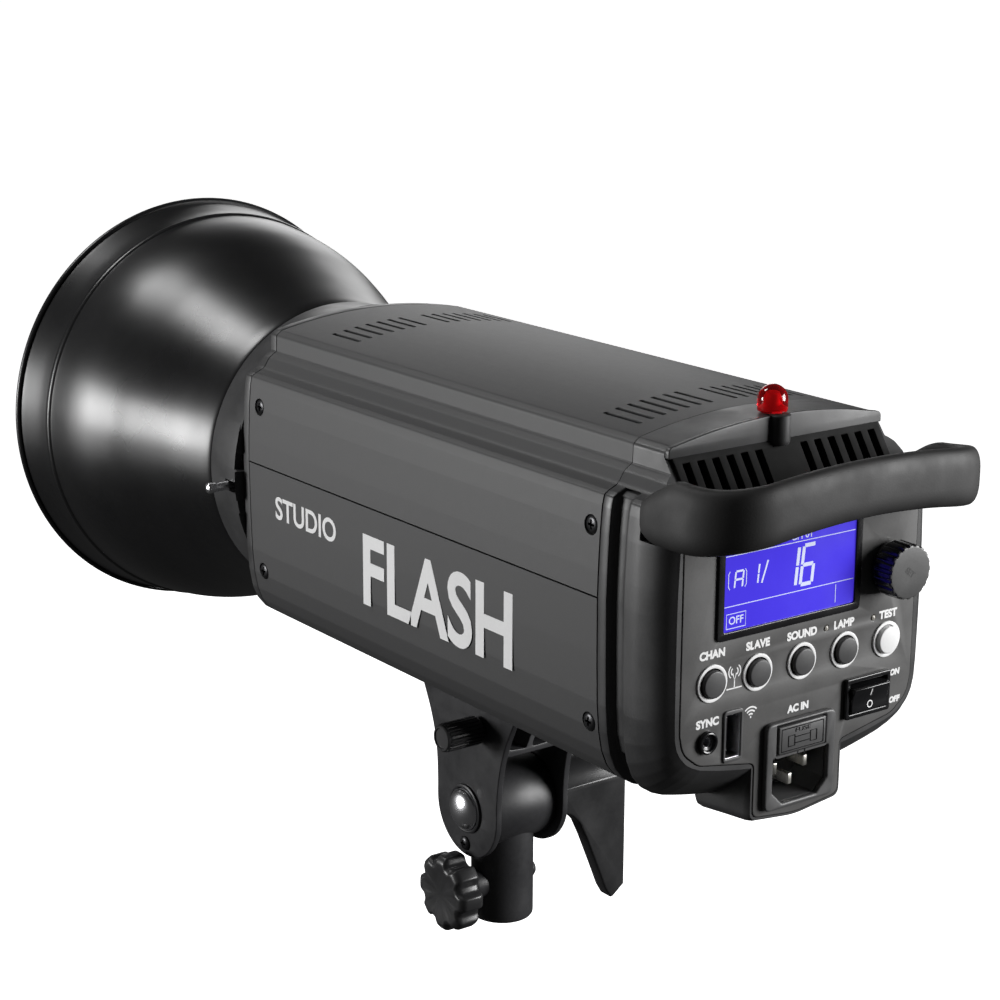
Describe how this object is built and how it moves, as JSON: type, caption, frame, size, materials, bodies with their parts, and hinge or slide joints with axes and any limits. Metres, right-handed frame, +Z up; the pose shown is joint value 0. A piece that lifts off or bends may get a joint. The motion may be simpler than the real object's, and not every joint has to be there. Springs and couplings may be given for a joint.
{
  "type": "studio flash head",
  "caption": "Monolight strobe: dark finned-slot flash body with bowl reflector, rear control panel, U handle and tilting stand bracket.",
  "frame": {"origin": "centre of the stand socket's mouth at the bottom of the bracket", "axes": "+Z up, +Y from the reflector towards the control panel, +X towards the clamp knob side"},
  "size_m": [0.1906, 0.4474, 0.2719],
  "materials": {
    "charcoal_powder_coat": "fine matt powder coat",
    "housing_black": "satin moulded plastic",
    "panel_black": "satin with printed legends",
    "reflector_black": "satin-gloss black outside, satin aluminium inside",
    "handle_rubber": "matt soft-touch",
    "bracket_black": "satin paint",
    "knob_black": "satin",
    "chrome": "polished",
    "steel": "brushed",
    "screw_black": "black oxide",
    "button_grey": "satin",
    "button_white": "satin",
    "dial_grey": "fluted, satin",
    "lcd_blue": "backlit liquid-crystal window",
    "lcd_black": "gloss",
    "red_lens": "translucent red",
    "led_clear": "clear tinted",
    "ceramic": "unglazed ceramic",
    "flash_glass": "frosted quartz tube",
    "bulb_glass": "frosted bulb",
    "capacitor_can": "sleeved can",
    "iron_core": "laminated core",
    "board_green": "solder mask",
    "sheet_metal": "mill finish",
    "brass_contacts": "plated"
  },
  "bodies": {
    "stand": {"stand_bracket": "bracket_black", "socket_screw": "bracket_black"},
    "clamp_pad": {"clamp_pad": "brass_contacts"},
    "stand_knob": {"stand_knob": "knob_black", "knob_stud": "chrome"},
    "umbrella_pad": {"umbrella_pad": "steel"},
    "umbrella_screw": {"umbrella_screw": "knob_black"},
    "tilt_lever": {"tilt_lever": "knob_black"},
    "reflector": {"reflector": "reflector_black"},
    "release_pin": {"release_pin": "chrome"},
    "fan_rotor": {"fan_rotor": "housing_black"},
    "fuse_drawer": {"fuse_drawer": "lcd_black", "fuses": "flash_glass"},
    "power_rocker": {"power_rocker": "lcd_black"},
    "button_model": {"button_model": "button_grey"},
    "button_mode": {"button_mode": "button_grey"},
    "button_sound": {"button_sound": "button_grey"},
    "button_slave": {"button_slave": "button_grey"},
    "button_test": {"button_test": "button_white"},
    "set_plunger": {"set_shaft": "steel"},
    "set_dial": {"set_dial": "dial_grey"},
    "head": {"tilt_yoke": "bracket_black", "pivot_bolt": "chrome", "cheek_screw": "screw_black", "umbrella_holder": "bracket_black", "upper_cover": "charcoal_powder_coat", "lower_tray": "charcoal_powder_coat", "body_screws": "screw_black", "yoke_screws": "steel", "front_frame": "housing_black", "front_ring": "housing_black", "bayonet_ring": "sheet_metal", "tube_base": "ceramic", "flash_tube": "flash_glass", "lamp_socket": "ceramic", "modelling_lamp": "bulb_glass", "heat_shield": "sheet_metal", "chassis": "sheet_metal", "capacitors": "capacitor_can", "transformer": "iron_core", "main_board": "board_green", "fan_frame": "housing_black", "rear_housing": "housing_black", "rear_grille": "housing_black", "lamp_stem": "housing_black", "lamp_dome": "red_lens", "handle": "handle_rubber", "handle_screws": "screw_black", "control_panel": "panel_black", "lcd_bezel": "lcd_black", "lcd_window": "lcd_blue", "lcd_module": "lcd_black", "button_rings": "button_white", "control_board": "board_green", "indicator_leds": "led_clear", "sync_jack": "lcd_black", "usb_shell": "steel", "inlet_housing": "lcd_black", "inlet_pins": "brass_contacts", "rocker_bezel": "lcd_black"}
  },
  "joints": [
    {"name": "head_tilt", "type": "hinge", "parent": "stand", "child": "head", "pos_m": [0, 0, 0.05], "axis": [1, 0, 0], "range_deg": [-90, 90]},
    {"name": "clamp_pad_slide", "type": "slide", "parent": "stand", "child": "clamp_pad", "axis": [1, 0, 0], "range_m": [-0.00059, 0.0025]},
    {"name": "stand_knob_turn", "type": "hinge", "parent": "clamp_pad", "child": "stand_knob", "pos_m": [0, 0, 0.016], "axis": [1, 0, 0], "range_deg": [-170, 720]},
    {"name": "umbrella_pad_slide", "type": "slide", "parent": "head", "child": "umbrella_pad", "axis": [1, 0, 0], "range_m": [-0.00094, 0.002]},
    {"name": "umbrella_screw_turn", "type": "hinge", "parent": "umbrella_pad", "child": "umbrella_screw", "pos_m": [0, 0.0095, 0.087], "axis": [1, 0, 0], "range_deg": [-340, 720]},
    {"name": "tilt_lever_turn", "type": "hinge", "parent": "head", "child": "tilt_lever", "pos_m": [0, 0, 0.05], "axis": [1, 0, 0], "range_deg": [-40, 60]},
    {"name": "reflector_twist", "type": "hinge", "parent": "head", "child": "reflector", "pos_m": [0, 0, 0.173], "axis": [0, 1, 0], "range_deg": [-30, 0]},
    {"name": "release_pin_slide", "type": "slide", "parent": "head", "child": "release_pin", "axis": [0, 1, 0], "range_m": [0, 0.004], "stiffness_N_per_m": 300, "springref_m": -0.002},
    {"name": "fan_spin", "type": "hinge", "parent": "head", "child": "fan_rotor", "pos_m": [0, 0.094, 0.165], "axis": [0, 1, 0], "continuous": true},
    {"name": "fuse_drawer_slide", "type": "slide", "parent": "head", "child": "fuse_drawer", "axis": [0, 1, 0], "range_m": [0, 0.022]},
    {"name": "power_rocker_tip", "type": "hinge", "parent": "head", "child": "power_rocker", "pos_m": [-0.0313, 0.168, 0.1386], "axis": [1, 0, 0], "range_deg": [0, 16]},
    {"name": "button_model_press", "type": "slide", "parent": "head", "child": "button_model", "axis": [0, -1, 0], "range_m": [0, 0.0008], "stiffness_N_per_m": 300, "springref_m": -0.001},
    {"name": "button_mode_press", "type": "slide", "parent": "head", "child": "button_mode", "axis": [0, -1, 0], "range_m": [0, 0.0008], "stiffness_N_per_m": 300, "springref_m": -0.001},
    {"name": "button_sound_press", "type": "slide", "parent": "head", "child": "button_sound", "axis": [0, -1, 0], "range_m": [0, 0.0008], "stiffness_N_per_m": 300, "springref_m": -0.001},
    {"name": "button_slave_press", "type": "slide", "parent": "head", "child": "button_slave", "axis": [0, -1, 0], "range_m": [0, 0.0008], "stiffness_N_per_m": 300, "springref_m": -0.001},
    {"name": "button_test_press", "type": "slide", "parent": "head", "child": "button_test", "axis": [0, -1, 0], "range_m": [0, 0.0008], "stiffness_N_per_m": 300, "springref_m": -0.001},
    {"name": "set_plunger_press", "type": "slide", "parent": "head", "child": "set_plunger", "axis": [0, -1, 0], "range_m": [0, 0.0007], "stiffness_N_per_m": 400, "springref_m": -0.001},
    {"name": "set_dial_turn", "type": "hinge", "parent": "set_plunger", "child": "set_dial", "pos_m": [-0.0392, 0.17, 0.1838], "axis": [0, 1, 0], "continuous": true}
  ],
  "couplings": [
    {"joint": "stand_knob_turn", "follows": "clamp_pad_slide", "rad_per_m": 5026.5},
    {"joint": "umbrella_screw_turn", "follows": "umbrella_pad_slide", "rad_per_m": 6283.2}
  ]
}
